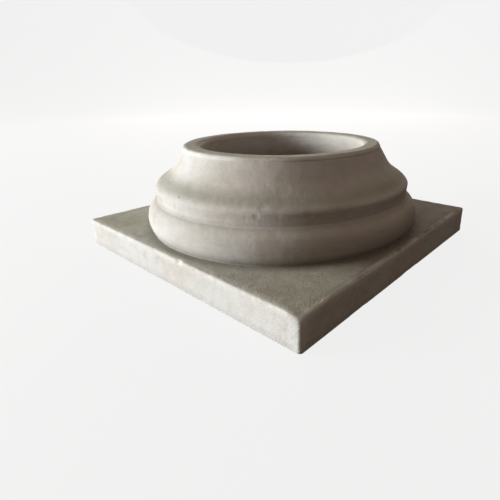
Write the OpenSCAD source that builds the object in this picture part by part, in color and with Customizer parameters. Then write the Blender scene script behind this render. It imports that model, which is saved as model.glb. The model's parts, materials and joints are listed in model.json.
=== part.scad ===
// Hollow column base: a square plinth and a round base moulding, cast in one piece,
// with a hole through it for the post that carries the load.
// The origin is at the centre of the underside, +Z is up, and lengths are in millimetres.

/* [Plinth] */
// Side of the square plinth
plinth_side = 450; // [360:5:600]
// Thickness of the plinth
plinth_h = 43; // [20:1:90]
// Radius of the plinth's four upright corners
corner_r = 5; // [4.5:0.5:30]
// Radius worn on the plinth's top edges
top_edge_r = 4; // [1:0.5:4.5]
// Radius worn on the plinth's bottom edges
bottom_edge_r = 2; // [1:0.5:4]

/* [Lower torus] */
// Ledge of the plinth outside the lower torus, at the middle of a side
ledge_w = 12; // [4:0.5:25]
// How far the lower torus tucks in where it meets the plinth
tuck = 5; // [1:0.5:10]
// Height of the lower torus's widest line above the plinth
lower_belly_h = 17.5; // [10:0.5:40]
// Height from there to the middle of the lower torus's sloping back
lower_back_h = 26; // [14:1:40]
// How far the middle of the back lies behind the widest line
lower_back_in = 14.5; // [8:0.5:20]
// Slope of the middle of the back, as radius lost for each unit of height
lower_back_slope = 1.25; // [0.6:0.05:1.4]
// Height of the scotia, the faint hollow between the two tori, above the middle of the back
scotia_h = 7; // [4:0.5:16]
// How far the scotia lies behind the middle of the back
scotia_in = 1.8; // [1:0.2:6]

/* [Upper torus] */
// Height of the upper torus's widest line above the scotia
upper_belly_h = 10.5; // [4:0.5:14]
// How far the upper torus stands out from the scotia
upper_out = 1; // [0.5:0.5:8]
// Height of the middle of its shoulder above its widest line
shoulder_h = 16.5; // [8:0.5:30]
// How much flatter the middle of its shoulder lies than the shoulder on average
shoulder_turn = 1.6; // [1:0.1:2]

/* [Neck and lip] */
// Height of the neck above the middle of the shoulder
neck_h = 36; // [24:1:60]
// Height of the hollow at the foot of the neck
neck_hollow_h = 19; // [12:0.5:22]
// Slope of the neck, as radius lost for each unit of height
neck_slope = 0.58; // [0.3:0.02:0.7]
// Thickness of the wall at the top of the neck
lip_wall = 27; // [20:0.5:32]
// Radius worn on the lip's outer edge
lip_r = 6; // [2:0.5:8]
// Radius worn on the lip's inner edge
lip_inner_r = 8; // [1:0.5:10]

/* [Hole] */
// Diameter of the hole that runs right through
bore_d = 252; // [200:2:264]

/* [Hidden] */

curve_steps = 8;    // straight steps in each curved stretch of the moulding
worn_steps = 5;     // straight steps in each worn edge
worn_fn = 32;       // fineness of the plinth's worn corners
root_depth = 6;     // how far the moulding is rooted in the plinth within the casting
cut_over = 1;       // how far the hole's cutter runs past the faces that it opens

// levels, each stacked on the one below
lower_belly_z = plinth_h + lower_belly_h;
lower_back_z = lower_belly_z + lower_back_h;
scotia_z = lower_back_z + scotia_h;
upper_belly_z = scotia_z + upper_belly_h;
shoulder_z = upper_belly_z + shoulder_h;
hollow_top_z = shoulder_z + neck_hollow_h;
lip_z = shoulder_z + neck_h;
total_h = lip_z + lip_r;

// radii, each set off from the one that it grows out of
bore_r = bore_d / 2;
lower_belly_r = plinth_side / 2 - ledge_w;
foot_r = lower_belly_r - tuck;
lower_back_r = lower_belly_r - lower_back_in;
scotia_r = lower_back_r - scotia_in;
upper_belly_r = scotia_r + upper_out;
lip_outer_r = bore_r + lip_wall;
hollow_top_r = lip_outer_r + (lip_z - hollow_top_z) * neck_slope;

// the shoulder joins the upper torus to the neck, half way in between the two
shoulder_r = (upper_belly_r + hollow_top_r) / 2;
shoulder_slope = shoulder_turn * (upper_belly_r - hollow_top_r) / (hollow_top_z - upper_belly_z);

// Stations of the moulding from its foot to its lip: radius, height and slope of the outline there,
// the slope as radius gained for each unit of height.
stations = [
    [foot_r, plinth_h, 2 * tuck / lower_belly_h],
    [lower_belly_r, lower_belly_z, 0],
    [lower_back_r, lower_back_z, -lower_back_slope],
    [scotia_r, scotia_z, 0],
    [upper_belly_r, upper_belly_z, 0],
    [shoulder_r, shoulder_z, -shoulder_slope],
    [hollow_top_r, hollow_top_z, -neck_slope],
    [lip_outer_r, lip_z, -neck_slope],
];

// Radius at share t of the way from station a to station b, on the cubic that has both slopes.
function eased_r(a, b, t) =
    a[0] * (1 + 2 * t) * (1 - t) * (1 - t) + b[0] * t * t * (3 - 2 * t)
    + (b[1] - a[1]) * (a[2] * t * (1 - t) * (1 - t) - b[2] * t * t * (1 - t));

// Points of the outline from station a up to, and not including, station b.
function rise(a, b) = [
    for (i = [0 : curve_steps - 1])
        let (t = i / curve_steps) [eased_r(a, b, t), a[1] + (b[1] - a[1]) * t]
];

// Points of a worn edge: a quarter circle of radius r about [x, z], from angle a0 to a1.
function worn_edge(x, z, r, a0, a1) = [
    for (i = [0 : worn_steps])
        let (a = a0 + (a1 - a0) * i / worn_steps) [x + r * cos(a), z + r * sin(a)]
];

// Outline of the moulding: from its root in the plinth up its face and over the lip.
function moulding_outline() = concat(
    [[0, plinth_h - root_depth], [foot_r, plinth_h - root_depth]],
    [for (i = [0 : len(stations) - 2]) each rise(stations[i], stations[i + 1])],
    worn_edge(lip_outer_r - lip_r, lip_z, lip_r, 0, 90),
    [[0, total_h]]
);

// One worn corner of the plinth, as a round pad with worn rims.
module worn_corner() {
    rotate_extrude($fn = worn_fn)
        polygon(concat(
            [[0, 0]],
            worn_edge(corner_r - bottom_edge_r, bottom_edge_r, bottom_edge_r, -90, 0),
            worn_edge(corner_r - top_edge_r, plinth_h - top_edge_r, top_edge_r, 0, 90),
            [[0, plinth_h]]
        ));
}

// The square plinth, drawn over its four corners.
module plinth() {
    reach = plinth_side / 2 - corner_r;
    hull()
        for (x = [-reach, reach], y = [-reach, reach])
            translate([x, y, 0]) worn_corner();
}

// The round moulding, before the hole is cut.
module moulding() {
    rotate_extrude($fn = 120) polygon(moulding_outline());
}

// The hole for the post, with the lip's inner edge worn round.
module post_hole() {
    rotate_extrude($fn = 120)
        polygon(concat(
            [[0, -cut_over], [bore_r, -cut_over]],
            worn_edge(bore_r + lip_inner_r, total_h - lip_inner_r, lip_inner_r, 180, 90),
            [[bore_r + lip_inner_r, total_h + cut_over], [0, total_h + cut_over]]
        ));
}

module column_base() {
    color([0.74, 0.72, 0.67])
        difference() {
            union() {
                plinth();
                moulding();
            }
            post_hole();
        }
}

column_base();
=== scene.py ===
"""A hollow column base in cast stone: the casting with its wear, its finish and a plain studio round it."""

import json
import math
import random

import bmesh
import bpy
from bpy.props import FloatProperty, FloatVectorProperty, IntProperty, PointerProperty
from mathutils import Matrix, Vector, kdtree, noise


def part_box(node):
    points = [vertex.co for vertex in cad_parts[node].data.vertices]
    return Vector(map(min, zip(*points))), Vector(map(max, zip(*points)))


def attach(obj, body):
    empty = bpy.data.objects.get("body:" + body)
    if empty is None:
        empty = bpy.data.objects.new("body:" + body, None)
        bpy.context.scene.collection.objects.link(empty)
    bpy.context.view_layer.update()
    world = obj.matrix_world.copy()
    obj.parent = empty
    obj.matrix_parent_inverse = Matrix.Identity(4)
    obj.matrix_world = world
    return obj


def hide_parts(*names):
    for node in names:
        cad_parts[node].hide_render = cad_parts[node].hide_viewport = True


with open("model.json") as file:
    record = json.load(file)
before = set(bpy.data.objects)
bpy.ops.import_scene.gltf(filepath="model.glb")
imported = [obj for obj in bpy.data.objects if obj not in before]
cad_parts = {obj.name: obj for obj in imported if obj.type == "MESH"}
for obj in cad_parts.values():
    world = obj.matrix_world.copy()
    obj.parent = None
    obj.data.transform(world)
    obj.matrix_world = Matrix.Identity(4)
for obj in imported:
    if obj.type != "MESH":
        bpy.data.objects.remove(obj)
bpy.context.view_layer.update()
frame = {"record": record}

bl_info = {
    "name": "Cast stone column base",
    "version": (1, 0, 0),
    "blender": (4, 5, 0),
    "location": "3D View > Sidebar > Column base",
    "description": "Models a worn, hollow cast-stone column base and a plain studio for it",
    "category": "Add Mesh",
}

NODE = "column_base"
MM = 0.001
LOW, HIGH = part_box(NODE)
MOUNTS = {mount["name"]: mount for mount in frame["record"]["mounts"]}
BORE_R = MOUNTS["post_hole"]["dims"]["r_mm"] * MM


def length(name, description, default_mm, highest_mm=1000):
    """A length that a user sets, given in millimetres here and kept in metres."""
    return FloatProperty(
        name=name,
        description=description,
        default=default_mm * MM,
        min=0,
        max=highest_mm * MM,
        subtype="DISTANCE",
        unit="LENGTH",
        precision=4,
    )


def share(name, description, default):
    """A plain number from nought upwards."""
    return FloatProperty(name=name, description=description, default=default, min=0)


def angle(name, description, default_deg):
    """An angle, given in degrees here and kept in radians."""
    return FloatProperty(
        name=name,
        description=description,
        default=math.radians(default_deg),
        subtype="ANGLE",
        unit="ROTATION",
    )


def colour(name, description, default):
    """A colour, as linear red, green and blue."""
    return FloatVectorProperty(
        name=name, description=description, default=default, min=0, max=1, size=3, subtype="COLOR"
    )


class ColumnBaseSizes(bpy.types.PropertyGroup):
    """The casting's own sizes, which follow the frame."""

    plinth_h: length("Plinth thickness", "Thickness of the square plinth", 43)
    corner_r: length("Corner radius", "Radius of the plinth's upright corners", 5)
    top_edge_r: length("Top edge radius", "Radius worn on the plinth's top edges", 4)
    bottom_edge_r: length("Bottom edge radius", "Radius worn on the plinth's bottom edges", 2)
    ledge_w: length("Ledge", "Ledge of the plinth outside the lower torus", 12)
    tuck: length("Tuck", "How far the lower torus tucks in at the plinth", 5)
    lower_belly_h: length("Lower belly", "Height of the lower torus's widest line above the plinth", 17.5)
    lower_back_h: length("Lower back", "Height from there to the middle of its sloping back", 26)
    lower_back_in: length("Back set-in", "How far the middle of the back lies behind the widest line", 14.5)
    lower_back_slope: share("Back slope", "Radius lost for each unit of height halfway up the back", 1.25)
    scotia_h: length("Scotia", "Height of the faint hollow between the tori above the back", 7)
    scotia_in: length("Scotia set-in", "How far the scotia lies behind the middle of the back", 1.8)
    upper_belly_h: length("Upper belly", "Height of the upper torus's widest line above the scotia", 10.5)
    upper_out: length("Upper torus", "How far the upper torus stands out from the scotia", 1)
    shoulder_h: length("Shoulder", "Height of the shoulder's middle above the upper belly", 16.5)
    neck_hollow_h: length("Neck hollow", "Height of the hollow at the foot of the neck", 19)
    shoulder_turn: share("Shoulder turn", "How much flatter the shoulder's middle lies than its average", 1.6)
    neck_slope: share("Neck slope", "Radius lost for each unit of height up the neck", 0.58)
    lip_wall: length("Lip wall", "Thickness of the wall at the top of the neck", 27)
    lip_r: length("Lip radius", "Radius worn on the lip's outer edge", 6)
    lip_inner_r: length("Inner lip radius", "Radius worn on the lip's inner edge", 8)


class ColumnBaseWear(bpy.types.PropertyGroup):
    """How uneven and how worn the casting is."""

    lean: length("Waviness", "Slow waviness of the cast surface", 0.9)
    lumps: length("Lumps", "Depth of the palm-sized lumps and hollows", 0.8)
    rub: length("Rubbed surface", "Depth of the finger-sized unevenness", 0.35)
    ragged: length("Ragged edges", "Depth to which the plinth's edges are nibbled", 1.3)
    sag: length("Run of the moulding", "How far the moulding's bands rise and fall round the ring", 1.6)
    chips: IntProperty(name="Chips", description="Small chips along the edges", default=30, min=0)
    chip_depth: length("Chip depth", "Depth of the deepest small chip", 1.9)
    dents: IntProperty(name="Dents", description="Small blow holes and dents all over", default=80, min=0)
    seed: IntProperty(name="Seed", description="Start of the random places", default=7, min=0)


class ColumnBaseColours(bpy.types.PropertyGroup):
    """The stone's colours, some of which also serve as painted shade."""

    pale: colour("Pale grey", "The stone's main colour", (0.615, 0.605, 0.575))
    buff: colour("Buff", "Warm patches", (0.57, 0.53, 0.47))
    # rust also tints the ring's shaded right side, as painted shade
    rust: colour("Rust brown", "Faint brown stains", (0.44, 0.36, 0.29))
    # the olive film on what faces up is dirt, and also painted shade that darkens those faces as a low side
    # light would
    olive: colour("Olive", "Film of dirt on what faces up", (0.315, 0.335, 0.255))
    # grit also serves as painted shade in the moulding's bands and on the ring's sides
    grit: colour("Grit", "Dark grains", (0.26, 0.24, 0.21))
    bleached: colour("Bleached", "Rubbed edges and light grains", (0.74, 0.73, 0.69))
    # soil also serves as painted shade in the crease, down the hole and as the ring's shadow on the ledge; in
    # pits and mottle it is dirt
    soil: colour("Soil", "Dirt in the creases and pits, and down the hole", (0.145, 0.128, 0.108))


class ColumnBaseStudio(bpy.types.PropertyGroup):
    """Camera and lights."""

    azimuth: angle("Azimuth", "Side that the camera stands on, from the front towards the right", 40.97)
    elevation: angle("Elevation", "Angle that the camera looks down at", 21.61)
    roll: angle("Roll", "Turn of the camera about its own line of sight", -0.56)
    distance: length("Distance", "From the camera to the base, along the line of sight", 662.7, 5000)
    aside: FloatProperty(name="Aside", description="Camera moved to its right", default=0.0161, unit="LENGTH")
    above: FloatProperty(
        name="Above", description="Camera moved up its own frame", default=-0.0013, unit="LENGTH"
    )
    lens: FloatProperty(name="Lens", description="Focal length in millimetres", default=27.44, min=1)
    shift: FloatVectorProperty(
        name="Shift", description="Sideways and upward shift of the lens", default=(-0.0856, -0.0264), size=2
    )
    key_power: share("Key light", "Power of the large soft light on the left, in watts", 545)
    key_height: length("Key height", "Height of its middle above the piece's middle", 480, 3000)
    back_power: share("Back light", "Power of the soft light behind the piece, in watts", 82)
    fill: share("Fill", "Strength of the light from all around", 0.34)


# ---------------------------------------------------------------- modelling


def nothing_selected():
    """Leaves object mode with nothing selected, so that the next operator meets only its own piece."""
    if bpy.context.object and bpy.context.object.mode != "OBJECT":
        bpy.ops.object.mode_set(mode="OBJECT")
    bpy.ops.object.select_all(action="DESELECT")


def pick(piece, edge_test):
    """Selects, in edit mode, the edges that pass the test, and nothing else."""
    bpy.ops.mesh.select_mode(type="EDGE")
    bpy.ops.mesh.select_all(action="DESELECT")
    mesh = bmesh.from_edit_mesh(piece.data)
    for edge in mesh.edges:
        if edge_test(edge.verts[0].co, edge.verts[1].co):
            edge.select_set(True)
    bmesh.update_edit_mesh(piece.data)


def near(a, b, slack=1e-5):
    """True if two lengths are the same to a hundredth of a millimetre."""
    return abs(a - b) < slack


def radius_of(point):
    """Distance of a point from the upright axis."""
    return math.hypot(point.x, point.y)


def eased(a, b, t):
    """Radius at share t of the way between two stations, each of radius, height and slope."""
    rest = 1 - t
    climb = b[1] - a[1]
    level = a[0] * (1 + 2 * t) * rest * rest + b[0] * t * t * (3 - 2 * t)
    return level + climb * (a[2] * t * rest * rest - b[2] * t * t * rest)


def worn_edge(x, z, r, start_deg, end_deg, steps):
    """Points of a quarter circle of radius r about (x, z)."""
    angles = [math.radians(start_deg + (end_deg - start_deg) * i / steps) for i in range(steps + 1)]
    return [(x + r * math.cos(a), z + r * math.sin(a)) for a in angles]


def ring_outline(sizes):
    """The moulding's half section, from its foot on the plinth up over the lip and down the bore."""
    top = HIGH.z
    lip_z = top - sizes.lip_r
    lower_z = sizes.plinth_h + sizes.lower_belly_h
    back_z = lower_z + sizes.lower_back_h
    scotia_z = back_z + sizes.scotia_h
    upper_z = scotia_z + sizes.upper_belly_h
    shoulder_z = upper_z + sizes.shoulder_h
    hollow_z = shoulder_z + sizes.neck_hollow_h
    lower_r = HIGH.x - sizes.ledge_w
    back_r = lower_r - sizes.lower_back_in
    scotia_r = back_r - sizes.scotia_in
    upper_r = scotia_r + sizes.upper_out
    lip_out = BORE_R + sizes.lip_wall
    hollow_r = lip_out + (lip_z - hollow_z) * sizes.neck_slope
    slope = sizes.shoulder_turn * (upper_r - hollow_r) / (hollow_z - upper_z)
    stations = [
        (lower_r - sizes.tuck, sizes.plinth_h, 2 * sizes.tuck / sizes.lower_belly_h),
        (lower_r, lower_z, 0),
        (back_r, back_z, -sizes.lower_back_slope),
        (scotia_r, scotia_z, 0),
        (upper_r, upper_z, 0),
        ((upper_r + hollow_r) / 2, shoulder_z, -slope),
        (hollow_r, hollow_z, -sizes.neck_slope),
        (lip_out, lip_z, -sizes.neck_slope),
    ]
    row = 2.8 * MM
    points = []
    for a, b in zip(stations, stations[1:]):
        steps = max(2, round(math.hypot(b[0] - a[0], b[1] - a[1]) / row))
        points += [(eased(a, b, i / steps), a[1] + (b[1] - a[1]) * i / steps) for i in range(steps)]
    points += worn_edge(lip_out - sizes.lip_r, lip_z, sizes.lip_r, 0, 90, 5)
    rim_in, rim_out = BORE_R + sizes.lip_inner_r, lip_out - sizes.lip_r
    rim_rows = 5
    points += [(rim_out + (rim_in - rim_out) * i / rim_rows, top) for i in range(1, rim_rows)]
    points += worn_edge(rim_in, top - sizes.lip_inner_r, sizes.lip_inner_r, 90, 180, 4)
    bore_rows = 18
    bore_top = top - sizes.lip_inner_r
    points += [(BORE_R, bore_top * (1 - i / bore_rows)) for i in range(1, bore_rows + 1)]
    return points


# vertices round the ring, and as many round the plinth
ROUND = 640
# segments in each of the plinth's upright corners
CORNER_STEPS = 8
# cuts across the ledge and down the sides, and across the underside
SIDE_CUTS = 13
UNDERSIDE_CUTS = 5
# rounding of the crease where the ring meets the plinth
FOOT_CREASE = 1.2 * MM
# an edge that rises or runs inwards by more than this crosses a large flat face, which is cut up
LARGE = 20 * MM


def turn_ring(outline):
    """Draws the outline point by point from one vertex, then spins it into the ring."""
    bpy.ops.mesh.select_all(action="SELECT")
    bpy.ops.mesh.merge(type="CENTER")
    bpy.ops.transform.translate(value=(outline[0][0], 0, outline[0][1]))
    for (r0, z0), (r1, z1) in zip(outline, outline[1:]):
        bpy.ops.mesh.extrude_region_move(TRANSFORM_OT_translate={"value": (r1 - r0, 0, z1 - z0)})
    bpy.ops.mesh.select_all(action="SELECT")
    bpy.ops.mesh.spin(steps=ROUND, angle=math.tau, center=(0, 0, 0), axis=(0, 0, 1))
    bpy.ops.mesh.select_all(action="SELECT")
    bpy.ops.mesh.remove_doubles(threshold=0.02 * MM)


def draw_square(piece, sizes, z):
    """Adds the plinth's outline with rounded corners, with as many vertices as the ring has round it."""
    side = HIGH.x - LOW.x
    bpy.ops.mesh.select_all(action="DESELECT")
    bpy.ops.mesh.primitive_plane_add(size=side, location=(0, 0, z))
    bpy.ops.mesh.bevel(offset=sizes.corner_r, segments=CORNER_STEPS, affect="VERTICES", profile=0.5)
    bpy.ops.mesh.delete(type="ONLY_FACE")
    straight_steps = ROUND // 4 - CORNER_STEPS
    # each side is cut in two goes, because one subdivision makes at most a hundred cuts
    parts = 4
    pick(piece, lambda a, b: near(a.z, z) and near(b.z, z) and (a - b).length > side / 2)
    bpy.ops.mesh.subdivide(number_cuts=straight_steps // parts - 1)
    step = (side - 2 * sizes.corner_r) / (straight_steps // parts)
    pick(piece, lambda a, b: near(a.z, z) and near(b.z, z) and near((a - b).length, step))
    bpy.ops.mesh.subdivide(number_cuts=parts - 1)


def on_square(point, sizes):
    """True for a point of the plinth's own upright face, corners included."""
    half = HIGH.x
    core = half - sizes.corner_r
    over = Vector((max(abs(point.x) - core, 0), max(abs(point.y) - core, 0)))
    return near(over.length, sizes.corner_r, 0.2 * MM)


def join_plinth(piece, sizes, foot_r):
    """Closes the casting: ledge, upright sides and underside, with worn edges."""
    z = sizes.plinth_h
    draw_square(piece, sizes, z)

    def is_side(a, b):
        return near(a.z, z) and near(b.z, z) and on_square(a, sizes) and on_square(b, sizes)

    pick(piece, is_side)
    bpy.ops.mesh.extrude_region_move(TRANSFORM_OT_translate={"value": (0, 0, -z)})

    def is_foot(a, b):
        return near(a.z, z) and near(b.z, z) and near(radius_of(a), foot_r) and near(radius_of(b), foot_r)

    pick(piece, lambda a, b: is_side(a, b) or is_foot(a, b))
    bpy.ops.mesh.bridge_edge_loops()

    def is_low(a, b):
        return near(a.z, 0) and near(b.z, 0)

    pick(piece, is_low)
    bpy.ops.mesh.bridge_edge_loops()

    pick(piece, is_side)
    bpy.ops.mesh.bevel(offset=sizes.top_edge_r, segments=5, affect="EDGES", profile=0.5)
    pick(piece, lambda a, b: is_low(a, b) and on_square(a, sizes) and on_square(b, sizes))
    bpy.ops.mesh.bevel(offset=sizes.bottom_edge_r, segments=3, affect="EDGES", profile=0.5)

    def across_ledge(a, b):
        inner, outer = sorted((radius_of(a), radius_of(b)))
        return near(a.z, z) and near(b.z, z) and near(inner, foot_r) and outer > foot_r + 1 * MM

    pick(piece, across_ledge)
    bpy.ops.mesh.subdivide(number_cuts=SIDE_CUTS)
    pick(piece, lambda a, b: on_square(a, sizes) and on_square(b, sizes) and abs(a.z - b.z) > LARGE)
    bpy.ops.mesh.subdivide(number_cuts=SIDE_CUTS)
    pick(piece, lambda a, b: is_low(a, b) and abs(radius_of(a) - radius_of(b)) > LARGE)
    bpy.ops.mesh.subdivide(number_cuts=UNDERSIDE_CUTS)
    pick(piece, is_foot)
    bpy.ops.mesh.bevel(offset=FOOT_CREASE, segments=2, affect="EDGES", profile=0.5)


def model_casting(sizes):
    """The whole casting as one closed, even mesh."""
    nothing_selected()
    bpy.ops.mesh.primitive_plane_add(size=1 * MM, location=(0, 0, 0))
    piece = bpy.context.object
    piece.name = "cast_column_base"
    piece.data.name = piece.name
    outline = ring_outline(sizes)
    bpy.ops.object.mode_set(mode="EDIT")
    turn_ring(outline)
    join_plinth(piece, sizes, outline[0][0])
    bpy.ops.mesh.select_all(action="SELECT")
    bpy.ops.mesh.normals_make_consistent(inside=False)
    bpy.ops.object.mode_set(mode="OBJECT")
    return piece


# ---------------------------------------------------------------- wear


def soft_step(low, high, value):
    """0 below low, 1 above high, and a smooth rise between."""
    t = min(max((value - low) / (high - low), 0), 1)
    return t * t * (3 - 2 * t)


def weigh(piece, name, rule):
    """Makes a vertex group whose weights follow a rule on each vertex's place."""
    group = piece.vertex_groups.new(name=name)
    for vertex in piece.data.vertices:
        weight = rule(vertex.co)
        if weight > 0:
            group.add([vertex.index], weight, "REPLACE")


def displace(piece, name, size, depth, group, direction="NORMAL", middle=1.0, detail=2):
    """Moves the surface by a cloud pattern: inwards only where its middle is 1, and both ways below that."""
    pattern = bpy.data.textures.new(name, type="CLOUDS")
    pattern.noise_basis = "IMPROVED_PERLIN"
    pattern.noise_scale = size
    pattern.noise_depth = detail
    modifier = piece.modifiers.new(name, "DISPLACE")
    modifier.texture = pattern
    modifier.texture_coords = "LOCAL"
    modifier.direction = direction
    modifier.strength = depth
    modifier.mid_level = middle
    modifier.vertex_group = group
    bpy.ops.object.modifier_apply(modifier=modifier.name)


def plinth_edge_distance(point, sizes):
    """Distance from a point on the plinth to the nearest of its top, bottom or upright edges."""
    half = HIGH.x
    to_sides = sorted((half - abs(point.x), half - abs(point.y)))
    to_top = abs(sizes.plinth_h - point.z)
    to_bottom = abs(point.z - LOW.z)
    upright = math.hypot(to_sides[0], to_sides[1])
    top = math.hypot(to_sides[0], to_top)
    bottom = math.hypot(to_sides[0], to_bottom)
    return min(upright, top, bottom)


def wear(piece, sizes, amounts):
    """Makes the even casting uneven: bands that rise and fall, waves, lumps, rubbing and ragged edges."""
    foot_r = HIGH.x - sizes.ledge_w - sizes.tuck

    def off_floor(point):
        return soft_step(0.1 * MM, 3 * MM, point.z - LOW.z)

    def ragged_edge(point):
        if point.z > sizes.plinth_h + 0.2 * MM or radius_of(point) < foot_r:
            return 0
        less_below = 0.35 + 0.65 * soft_step(LOW.z, sizes.plinth_h / 2, point.z)
        by_edge = 1 - soft_step(2 * MM, 11 * MM, plinth_edge_distance(point, sizes))
        return off_floor(point) * less_below * by_edge

    def moulding(point):
        ring = 1 if radius_of(point) > BORE_R + 2 * MM else 0
        rise = soft_step(sizes.plinth_h + 4 * MM, sizes.plinth_h + 22 * MM, point.z)
        return ring * rise * (1 - soft_step(HIGH.z - 26 * MM, HIGH.z - 8 * MM, point.z))

    weigh(piece, "off_floor", off_floor)
    weigh(piece, "ragged_edge", ragged_edge)
    weigh(piece, "moulding", moulding)
    nothing_selected()
    piece.select_set(True)
    bpy.context.view_layer.objects.active = piece
    displace(piece, "run_of_bands", 160 * MM, amounts.sag, "moulding", direction="Z", middle=0.5, detail=0)
    displace(piece, "waves", 110 * MM, amounts.lean, "off_floor", middle=0.6, detail=1)
    displace(piece, "lumps", 34 * MM, amounts.lumps, "off_floor", middle=0.6)
    displace(piece, "rubbed", 9 * MM, amounts.rub, "off_floor", middle=0.7)
    displace(piece, "ragged", 13 * MM, amounts.ragged, "ragged_edge", detail=3)
    piece.vertex_groups.clear()


def press_flat(piece, tree, place, outward, depth, reach):
    """Breaks a chip off an edge: what stands past a rough plane, this deep under the place, goes down to it.

    Returns the numbers of the vertices that it moved."""
    outward = outward.normalized()
    moved = []
    for point, index, away in tree.find_range(place, reach):
        rough = noise.noise(point / (11 * MM)) * 0.22 * depth
        over = (point - place).dot(outward) + depth + rough
        if over > 0:
            fade = 1 - soft_step(0.65 * reach, reach, away)
            piece.data.vertices[index].co -= outward * over * fade
            moved.append(index)
    return moved


def press_dent(piece, tree, place, inward, depth, reach):
    """Presses a small round hollow into the surface."""
    for _, index, away in tree.find_range(place, reach):
        piece.data.vertices[index].co += inward * depth * (1 - soft_step(0.2 * reach, reach, away))


def ease(piece, chosen, repeat):
    """Evens out the mesh over these vertices, this many times."""
    nothing_selected()
    bpy.context.view_layer.objects.active = piece
    bpy.ops.object.mode_set(mode="EDIT")
    bpy.ops.mesh.select_mode(type="VERT")
    bpy.ops.mesh.select_all(action="DESELECT")
    mesh = bmesh.from_edit_mesh(piece.data)
    mesh.verts.ensure_lookup_table()
    for index in chosen:
        mesh.verts[index].select_set(True)
    bmesh.update_edit_mesh(piece.data)
    bpy.ops.mesh.vertices_smooth(factor=0.5, repeat=repeat)
    bpy.ops.object.mode_set(mode="OBJECT")


def break_edges(piece, sizes, amounts):
    """A worn corner, a nick and blunt places at the foot, then small chips and dents at random."""
    half, low, top = HIGH.x, LOW.z, sizes.plinth_h
    tree = kdtree.KDTree(len(piece.data.vertices))
    for vertex in piece.data.vertices:
        tree.insert(vertex.co, vertex.index)
    tree.balance()

    worn_corner = Vector((half, -half, top))
    chips = [
        # the corner between the front and the right is rounded off towards its top
        (worn_corner, Vector((0.9, -1.0, 1.2)), 7.5 * MM, 32 * MM),
        # a nick in the front top edge
        (Vector((26 * MM, -half, top)), Vector((0.3, -1, 0.8)), 3.2 * MM, 6.5 * MM),
        # the foot of the right side is a little broken away in two places
        (Vector((half, 18 * MM, low)), Vector((1, 0, -0.7)), 1.3 * MM, 24 * MM),
        (Vector((half, -120 * MM, low)), Vector((1, 0, -0.8)), 1.1 * MM, 18 * MM),
        # the left corner is blunt at its foot
        (Vector((-half, -half, low)), Vector((-1, -1, -0.9)), 4.5 * MM, 20 * MM),
    ]
    draw = random.Random(amounts.seed)
    for _ in range(amounts.chips):
        along = draw.uniform(-0.92, 0.92) * half
        side = draw.choice([(1, 0), (-1, 0), (0, 1), (0, -1)])
        on_top = draw.random() < 0.6
        place = Vector((side[0] * half, side[1] * half, top if on_top else low))
        place += Vector((abs(side[1]) * along, abs(side[0]) * along, 0))
        tilt = draw.uniform(0.5, 1.2) * (1 if on_top else -1)
        reach = draw.uniform(7, 17) * MM
        depth = draw.uniform(0.4, 1.0) * amounts.chip_depth * (1 if on_top else 0.5)
        chips.append((place, Vector((side[0], side[1], tilt)), depth, reach))
    broken = {index for chip in chips for index in press_flat(piece, tree, *chip)}
    ease(piece, broken, 3)
    # the worn corner is smoother than the chips: its middle first, then a wider patch to blend it in
    for reach, repeat in [(17 * MM, 16), (24 * MM, 4)]:
        ease(piece, [index for _, index, _ in tree.find_range(worn_corner, reach)], repeat)

    for _ in range(amounts.dents):
        vertex = piece.data.vertices[draw.randrange(len(piece.data.vertices))]
        reach = draw.uniform(3.5, 8) * MM
        depth = draw.uniform(0.15, 0.55) * MM
        if vertex.co.z > low + reach:
            press_dent(piece, tree, vertex.co.copy(), -vertex.normal.copy(), depth, reach)


def keep_in_box(piece):
    """Holds every vertex inside the frame's box."""
    for vertex in piece.data.vertices:
        vertex.co = [min(max(value, low), high) for value, low, high in zip(vertex.co, LOW, HIGH)]


# ---------------------------------------------------------------- finish


class Value:
    """A number in a material's node tree, so that shader maths reads as plain expressions."""

    def __init__(self, finish, socket):
        self.finish = finish
        self.socket = socket

    def maths(self, operation, *values):
        """A Math node on these values."""
        made = self.finish.node("ShaderNodeMath", {"operation": operation}, *values)
        return Value(self.finish, made.outputs[0])

    def __add__(self, other):
        return self.maths("ADD", self, other)

    def __radd__(self, other):
        return self.maths("ADD", other, self)

    def __sub__(self, other):
        return self.maths("SUBTRACT", self, other)

    def __rsub__(self, other):
        return self.maths("SUBTRACT", other, self)

    def __mul__(self, other):
        return self.maths("MULTIPLY", self, other)

    def __truediv__(self, other):
        return self.maths("DIVIDE", self, other)

    def __abs__(self):
        return self.maths("ABSOLUTE", self)

    def smallest(self, other):
        """The smaller of two values."""
        return self.maths("MINIMUM", self, other)

    def largest(self, other):
        """The larger of two values."""
        return self.maths("MAXIMUM", self, other)

    def between(self, low, high):
        """0 at low and 1 at high, with a smooth rise between; low may be the larger."""
        settings = {"interpolation_type": "SMOOTHSTEP", "clamp": True}
        made = self.finish.node("ShaderNodeMapRange", settings, self, low, high, 0.0, 1.0)
        return Value(self.finish, made.outputs[0])


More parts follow.
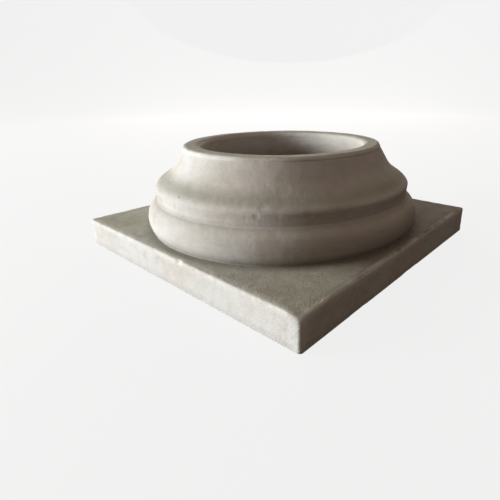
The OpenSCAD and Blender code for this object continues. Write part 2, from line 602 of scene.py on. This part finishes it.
class Finish:
    """A material under construction."""

    def __init__(self, name):
        self.material = bpy.data.materials.new(name)
        self.material.use_nodes = True
        self.tree = self.material.node_tree
        self.tree.nodes.clear()
        place = self.node("ShaderNodeTexCoord", {})
        self.place = place.outputs["Object"]
        self.x, self.y, self.z = self.split(self.place)
        squared = self.x * self.x + self.y * self.y
        self.radius = squared.maths("SQRT", squared)

    def node(self, kind, settings, *values, **named):
        """Adds a node: its settings first, then its sockets in order, then its sockets by name."""
        made = self.tree.nodes.new(kind)
        for key, setting in settings.items():
            setattr(made, key, setting)
        for i, value in enumerate(values):
            self.feed(made.inputs[i], value)
        for key, value in named.items():
            self.feed(made.inputs[key.replace("_", " ")], value)
        return made

    def feed(self, socket, value):
        """Links or sets one socket."""
        if isinstance(value, Value):
            self.tree.links.new(value.socket, socket)
        elif isinstance(value, bpy.types.NodeSocket):
            self.tree.links.new(value, socket)
        elif value is not None:
            socket.default_value = value

    def split(self, vector):
        """A vector's three parts."""
        parts = self.node("ShaderNodeSeparateXYZ", {}, vector)
        return [Value(self, out) for out in parts.outputs]

    def vector(self, x, y, z):
        """A vector from three values."""
        return self.node("ShaderNodeCombineXYZ", {}, x, y, z).outputs[0]

    def clouds(self, size, detail=3.0, roughness=0.55, where=None, distortion=0.0):
        """Cloudy noise from 0 to 1, with lumps of about this size in metres."""
        made = self.node(
            "ShaderNodeTexNoise",
            {},
            Vector=where or self.place,
            Scale=1 / size,
            Detail=detail,
            Roughness=roughness,
            Distortion=distortion,
        )
        return Value(self, made.outputs["Fac"])

    def cells(self, size, where=None):
        """Distance from each cell's middle, in cell sizes, and a random number for each cell."""
        made = self.node("ShaderNodeTexVoronoi", {}, Vector=where or self.place, Scale=1 / size)
        red = self.node("ShaderNodeSeparateColor", {}, made.outputs["Color"])
        return Value(self, made.outputs["Distance"]), Value(self, red.outputs[0]), Value(self, red.outputs[1])

    def mix(self, factor, a, b):
        """Colour a, with this much of colour b over it."""
        made = self.tree.nodes.new("ShaderNodeMix")
        made.data_type = "RGBA"
        made.blend_type = "MIX"
        made.clamp_factor = True
        for socket, value in zip([made.inputs[0], made.inputs[6], made.inputs[7]], [factor, a, b]):
            self.feed(socket, value)
        return made.outputs[2]


def rgba(values):
    """A colour property as a socket's four numbers."""
    return (*values, 1.0)


def pits(finish, size, biggest, kept):
    """Round pits: 1 in the middle of a pit, 0 outside. The kept share of the cells has one each."""
    warp = finish.clouds(size * 0.8, 1.0)
    spread = finish.node(
        "ShaderNodeVectorMath",
        {"operation": "MULTIPLY_ADD"},
        finish.vector(warp, warp, warp),
        (size * 0.35,) * 3,
        finish.place,
    ).outputs[0]
    distance, lottery, width = finish.cells(size, spread)
    has_pit = (lottery - (1 - kept)).between(0.0, 0.02)
    reach = (width * 0.65 + 0.35) * biggest
    return (distance / reach).between(1.0, 0.55) * has_pit


def cast_stone(sizes, colours):
    """Pale, lightly pitted cast stone: a film of dirt and painted shade on what faces up, painted shade in
    the creases, down the hole and on the ring's sides, a painted shadow of the ring on the ledge, and rubbed
    edges.
    """
    stone = Finish("cast_stone")
    facing = stone.split(stone.node("ShaderNodeNewGeometry", {}).outputs["Normal"])
    uphill = facing[2].between(0.58, 0.92)

    broad = stone.clouds(0.13, 3.0)
    flattened = stone.vector(stone.x + 0.31, stone.y, stone.z * 2.2)
    stains = stone.clouds(0.07, 4.0, 0.6, distortion=0.4, where=flattened)
    patches = stone.clouds(0.045, 5.0, 0.6, distortion=0.3)
    mottle = stone.clouds(0.012, 5.0, 0.65)
    grain = stone.clouds(0.0022, 3.0, 0.7)

    # the marks of the strickle that turned the ring's model run round it
    turn = 0.03
    across, along = stone.x / stone.radius * turn, stone.y / stone.radius * turn
    around = stone.vector(across, along, stone.z + stone.radius * 0.45)
    streaks = stone.clouds(0.0045, 3.0, 0.6, where=around)
    bands = stone.clouds(0.016, 2.0, 0.5, where=around)
    on_ring = stone.z.between(sizes.plinth_h - 1 * MM, sizes.plinth_h + 2 * MM)
    off_ring = 1 - on_ring

    # rubbed edges of the plinth and of the lip
    side = (HIGH.x - abs(stone.x)).smallest(HIGH.y - abs(stone.y))
    corner = (HIGH.x - abs(stone.x)).largest(HIGH.y - abs(stone.y))
    top_edge = (side + abs(sizes.plinth_h - stone.z)).between(10 * MM, 3 * MM)
    on_plinth = stone.z.between(sizes.plinth_h + 2 * MM, sizes.plinth_h)
    upright_edge = (side + corner).between(20 * MM, 6 * MM) * on_plinth
    lip_edge = stone.z.between(HIGH.z - 9 * MM, HIGH.z - 3 * MM) * facing[2].between(0.98, 0.6)
    outside = stone.radius.between(BORE_R + 4 * MM, BORE_R + 14 * MM)
    rubbed = top_edge.largest(upright_edge).largest(lip_edge * outside) * patches.between(0.38, 0.6)

    # painted shade in the crease at the ring's foot and down the hole, painted shade with some dirt along the
    # back and the shoulder, and the plinth's sides darker towards their bottom
    foot_r = HIGH.x - sizes.ledge_w - sizes.tuck
    foot = (abs(stone.radius - foot_r) + abs(stone.z - sizes.plinth_h)).between(20 * MM, 1 * MM)
    back_z = sizes.plinth_h + sizes.lower_belly_h + sizes.lower_back_h
    back = abs(stone.z - back_z - 1 * MM).between(5.5 * MM, 1 * MM)
    shoulder_z = back_z + sizes.scotia_h + sizes.upper_belly_h + sizes.shoulder_h
    shoulder = abs(stone.z - shoulder_z + 4 * MM).between(6.5 * MM, 1 * MM)
    band_dirt_and_shade = back.largest(shoulder) * outside * (bands * 0.9 + 0.2)
    foot_crease_shade = foot * (mottle * 0.6 + 0.55)
    hole_shade = outside.between(0.6, 0.0) * stone.z.between(HIGH.z - 10 * MM, HIGH.z - 66 * MM)
    low_side = stone.z.between(12 * MM, 0.0) * off_ring

    # painted shade: the ring's shaded right side is tinted browner and darker low down, its lit left side is
    # painted greyer to dim the light there, and the ledge at the right carries a painted shadow of the ring
    shaded_side_tint = (stone.x + stone.y * 0.5).between(-0.12, 0.10) * on_ring * outside
    lit_side_painted_shade = (stone.x + stone.y * 0.5).between(-0.04, -0.20) * on_ring * outside
    ring_shadow_on_ledge = (stone.x + stone.y).between(0.03, 0.15) * off_ring * uphill
    low_ring_shade = shaded_side_tint * stone.z.between(sizes.plinth_h + 46 * MM, sizes.plinth_h + 26 * MM)

    pitted = pits(stone, 0.0065, 0.15, 0.16).largest(pits(stone, 0.021, 0.11, 0.22))

    colour = stone.mix(broad.between(0.3, 0.7), rgba(colours.pale), rgba(colours.buff))
    colour = stone.mix(stains.between(0.50, 0.78) * 0.45, colour, rgba(colours.rust))
    colour = stone.mix(patches.between(0.45, 0.75) * 0.22, colour, rgba(colours.olive))
    # painted shade together with a film of dirt: what faces up is darkened as a low light from the side would
    # leave it
    colour = stone.mix(uphill * (patches.between(0.25, 0.7) * 0.30 + 0.48), colour, rgba(colours.olive))
    colour = stone.mix(mottle.between(0.5, 0.8) * (off_ring * 0.2 + 0.2), colour, rgba(colours.bleached))
    colour = stone.mix(mottle.between(0.5, 0.2) * (off_ring * 0.12 + 0.14), colour, rgba(colours.soil))
    colour = stone.mix(grain.between(0.58, 0.75) * (off_ring * 0.35 + 0.18), colour, rgba(colours.bleached))
    colour = stone.mix(grain.between(0.42, 0.25) * (off_ring * 0.35 + 0.18), colour, rgba(colours.grit))
    colour = stone.mix(streaks.between(0.52, 0.75) * on_ring * 0.16, colour, rgba(colours.grit))
    # painted shade: the ring's right side, which lies in shade, is tinted browner
    colour = stone.mix(shaded_side_tint * (stains * 0.16 + 0.04), colour, rgba(colours.rust))
    # painted shade low on the ring's shaded right side
    colour = stone.mix(low_ring_shade * (stains * 0.3 + 0.3), colour, rgba(colours.grit))
    # painted shade on the ring's lit left side, which tones its light down
    colour = stone.mix(lit_side_painted_shade * (broad * 0.2 + 0.12), colour, rgba(colours.grit))
    # painted shadow of the ring on the ledge at its right
    colour = stone.mix(ring_shadow_on_ledge * (patches * 0.3 + 0.6), colour, rgba(colours.soil))
    # painted shade, with some dirt, in the bands along the back and the shoulder
    colour = stone.mix(band_dirt_and_shade * 0.42, colour, rgba(colours.grit))
    colour = stone.mix(rubbed * 0.55, colour, rgba(colours.bleached))
    colour = stone.mix(low_side * mottle * 0.35, colour, rgba(colours.soil))
    # painted shade in the crease at the ring's foot
    colour = stone.mix(foot_crease_shade * 0.62, colour, rgba(colours.soil))
    # painted shade down the hole, darker with depth
    colour = stone.mix(hole_shade * 0.86, colour, rgba(colours.soil))
    colour = stone.mix(pitted * 0.4, colour, rgba(colours.soil))

    roughness = 0.88 + (mottle - 0.5) * 0.14 - rubbed * 0.08 + pitted * 0.06

    # heights in millimetres
    height = (mottle - 0.5) * (off_ring * 0.5 + 0.5) + (grain - 0.5) * (off_ring * 0.6 + 0.25)
    height = height + (streaks - 0.5) * on_ring * 0.4 + (bands - 0.5) * on_ring * 0.8 - pitted * 1.0
    bump = stone.node("ShaderNodeBump", {}, Strength=0.65, Distance=MM, Height=height)

    shader = stone.node(
        "ShaderNodeBsdfPrincipled", {}, Base_Color=colour, Roughness=roughness, Normal=bump.outputs[0]
    )
    shader.inputs["Specular IOR Level"].default_value = 0.3
    stone.node("ShaderNodeOutputMaterial", {}, Surface=shader.outputs[0])
    return stone.material


# ---------------------------------------------------------------- studio


def stage_material():
    """A pale sheet that glows a little, so that it stays pale beside a low light."""
    sheet = Finish("pale_floor")
    tone = sheet.clouds(1.5, 2.0)
    colour = sheet.mix(tone, (0.04, 0.04, 0.04, 1), (0.05, 0.05, 0.05, 1))
    shader = sheet.node("ShaderNodeBsdfPrincipled", {}, Base_Color=colour, Roughness=0.9)
    shader.inputs["Emission Color"].default_value = (1, 1, 1, 1)
    shader.inputs["Emission Strength"].default_value = 0.84
    sheet.node("ShaderNodeOutputMaterial", {}, Surface=shader.outputs[0])
    return sheet.material


def make_floor():
    """A round floor whose rim sweeps up into a wall all round, seen but not lighting the piece."""
    nothing_selected()
    floor_r, sweep_r, wall_h, steps = 3.0, 1.2, 3.0, 10
    bpy.ops.mesh.primitive_circle_add(vertices=96, radius=floor_r, fill_type="NGON", location=(0, 0, 0))
    floor = bpy.context.object
    floor.name = "studio_floor"
    bpy.ops.object.mode_set(mode="EDIT")
    bpy.ops.mesh.select_mode(type="EDGE")
    bpy.ops.mesh.select_all(action="SELECT")
    for i in range(steps):
        a0, a1 = (math.pi / 2 * j / steps for j in (i, i + 1))
        here = floor_r + sweep_r * math.sin(a0)
        there = floor_r + sweep_r * math.sin(a1)
        lift = sweep_r * (math.cos(a0) - math.cos(a1))
        pick(floor, lambda a, b: near(radius_of(a), here, 1e-3) and near(radius_of(b), here, 1e-3))
        bpy.ops.mesh.extrude_region_move(TRANSFORM_OT_translate={"value": (0, 0, lift)})
        bpy.ops.transform.resize(value=(there / here, there / here, 1))
    bpy.ops.mesh.extrude_region_move(TRANSFORM_OT_translate={"value": (0, 0, wall_h)})
    bpy.ops.object.mode_set(mode="OBJECT")
    bpy.ops.object.shade_smooth()
    floor.visible_diffuse = False
    floor.visible_glossy = False
    floor.visible_shadow = False
    floor.data.materials.append(stage_material())


def add_light(name, place, aim, width, height, power, tint):
    """A soft rectangular light at one point, turned towards another."""
    data = bpy.data.lights.new(name, type="AREA")
    data.shape = "RECTANGLE"
    data.size = width
    data.size_y = height
    data.energy = power
    data.color = tint
    lamp = bpy.data.objects.new(name, data)
    bpy.context.scene.collection.objects.link(lamp)
    lamp.location = place
    lamp.rotation_euler = (Vector(aim) - Vector(place)).to_track_quat("-Z", "Y").to_euler()


def camera_axes(studio):
    """The level right, up and back directions of the camera, before it is rolled."""
    a, e = studio.azimuth, studio.elevation
    back = Vector((math.sin(a) * math.cos(e), -math.cos(a) * math.cos(e), math.sin(e)))
    right = Vector((math.cos(a), math.sin(a), 0))
    return right, back.cross(right), back


def make_camera(studio):
    """The camera, with its roll and its small moves sideways and up."""
    right, up, back = camera_axes(studio)
    cos_r, sin_r = math.cos(studio.roll), math.sin(studio.roll)
    turned = Matrix((cos_r * right + sin_r * up, cos_r * up - sin_r * right, back)).transposed()
    data = bpy.data.cameras.new("camera")
    data.lens = studio.lens
    data.sensor_width = 36
    data.shift_x, data.shift_y = studio.shift
    data.clip_start = 0.01
    camera = bpy.data.objects.new("camera", data)
    bpy.context.scene.collection.objects.link(camera)
    place = back * studio.distance + right * studio.aside + up * studio.above
    camera.matrix_world = Matrix.Translation(place) @ turned.to_4x4()
    bpy.context.scene.camera = camera


def make_world(studio):
    """Dim warm light from above, fading to hardly any at the level of the floor."""
    world = bpy.data.worlds.new("studio_air")
    bpy.context.scene.world = world
    world.use_nodes = True
    nodes, links = world.node_tree.nodes, world.node_tree.links
    direction = nodes.new("ShaderNodeTexCoord")
    parts = nodes.new("ShaderNodeSeparateXYZ")
    strength = nodes.new("ShaderNodeMapRange")
    strength.interpolation_type = "SMOOTHSTEP"
    limits = {"From Min": -0.05, "From Max": 0.75, "To Min": 0.02, "To Max": studio.fill}
    for name, value in limits.items():
        strength.inputs[name].default_value = value
    links.new(direction.outputs["Generated"], parts.inputs[0])
    links.new(parts.outputs["Z"], strength.inputs["Value"])
    links.new(strength.outputs[0], nodes["Background"].inputs["Strength"])
    nodes["Background"].inputs["Color"].default_value = (1.0, 0.79, 0.66, 1)


# ---------------------------------------------------------------- operators and panel


class COLUMNBASE_OT_casting(bpy.types.Operator):
    """Models the worn casting and gives it its cast-stone finish"""

    bl_idname = "column_base.casting"
    bl_label = "Cast the column base"

    def execute(self, context):
        scene = context.scene
        piece = model_casting(scene.column_base_sizes)
        wear(piece, scene.column_base_sizes, scene.column_base_wear)
        break_edges(piece, scene.column_base_sizes, scene.column_base_wear)
        keep_in_box(piece)
        bpy.ops.object.shade_smooth_by_angle(angle=math.radians(50))
        piece.data.materials.append(cast_stone(scene.column_base_sizes, scene.column_base_colours))
        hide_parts(NODE)
        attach(piece, "root")
        return {"FINISHED"}


class COLUMNBASE_OT_studio(bpy.types.Operator):
    """Makes the pale floor, the two soft lights, the air and the camera"""

    bl_idname = "column_base.studio"
    bl_label = "Set up the studio"

    def execute(self, context):
        studio = context.scene.column_base_studio
        make_floor()
        right, _, back = camera_axes(studio)
        aim = Vector((0, 0, 0.08))
        # both stand far out, so that neither's edge shows on the floor; the sweep casts no shadow
        key_aside, key_forward, key_size, key_tint = 5.2, 0.3, (2.6, 2.2), (0.95, 0.98, 1.0)
        key_place = aim - right * key_aside + back * key_forward + Vector((0, 0, studio.key_height))
        add_light("key_light", key_place, aim, *key_size, studio.key_power, key_tint)
        away, up, back_size, back_tint = 4.2, 2.24, (3.9, 2.2), (1.0, 0.96, 0.90)
        back_place = aim - back * away + Vector((0, 0, up))
        add_light("back_light", back_place, aim, *back_size, studio.back_power, back_tint)
        make_world(studio)
        make_camera(studio)
        context.scene.view_settings.view_transform = "Standard"
        return {"FINISHED"}


class COLUMNBASE_PT_panel(bpy.types.Panel):
    """Lists the sizes, colours and steps of the column base"""

    bl_idname = "COLUMNBASE_PT_panel"
    bl_label = "Column base"
    bl_space_type = "VIEW_3D"
    bl_region_type = "UI"
    bl_category = "Column base"

    def draw(self, context):
        for name in GROUPS:
            box = self.layout.box()
            group = getattr(context.scene, name)
            for key in group.__annotations__:
                box.prop(group, key)
        self.layout.operator(COLUMNBASE_OT_casting.bl_idname)
        self.layout.operator(COLUMNBASE_OT_studio.bl_idname)


GROUPS = {
    "column_base_sizes": ColumnBaseSizes,
    "column_base_wear": ColumnBaseWear,
    "column_base_colours": ColumnBaseColours,
    "column_base_studio": ColumnBaseStudio,
}
CLASSES = [*GROUPS.values(), COLUMNBASE_OT_casting, COLUMNBASE_OT_studio, COLUMNBASE_PT_panel]


def register():
    """Registers the classes and hangs their settings on the scene."""
    for cls in CLASSES:
        bpy.utils.register_class(cls)
    for name, group in GROUPS.items():
        setattr(bpy.types.Scene, name, PointerProperty(type=group))


def unregister():
    """Takes the settings and the classes away again."""
    for name in GROUPS:
        delattr(bpy.types.Scene, name)
    for cls in reversed(CLASSES):
        bpy.utils.unregister_class(cls)


def main():
    """Makes the piece and the studio."""
    register()
    bpy.ops.column_base.casting()
    bpy.ops.column_base.studio()


if __name__ == "__main__":
    main()
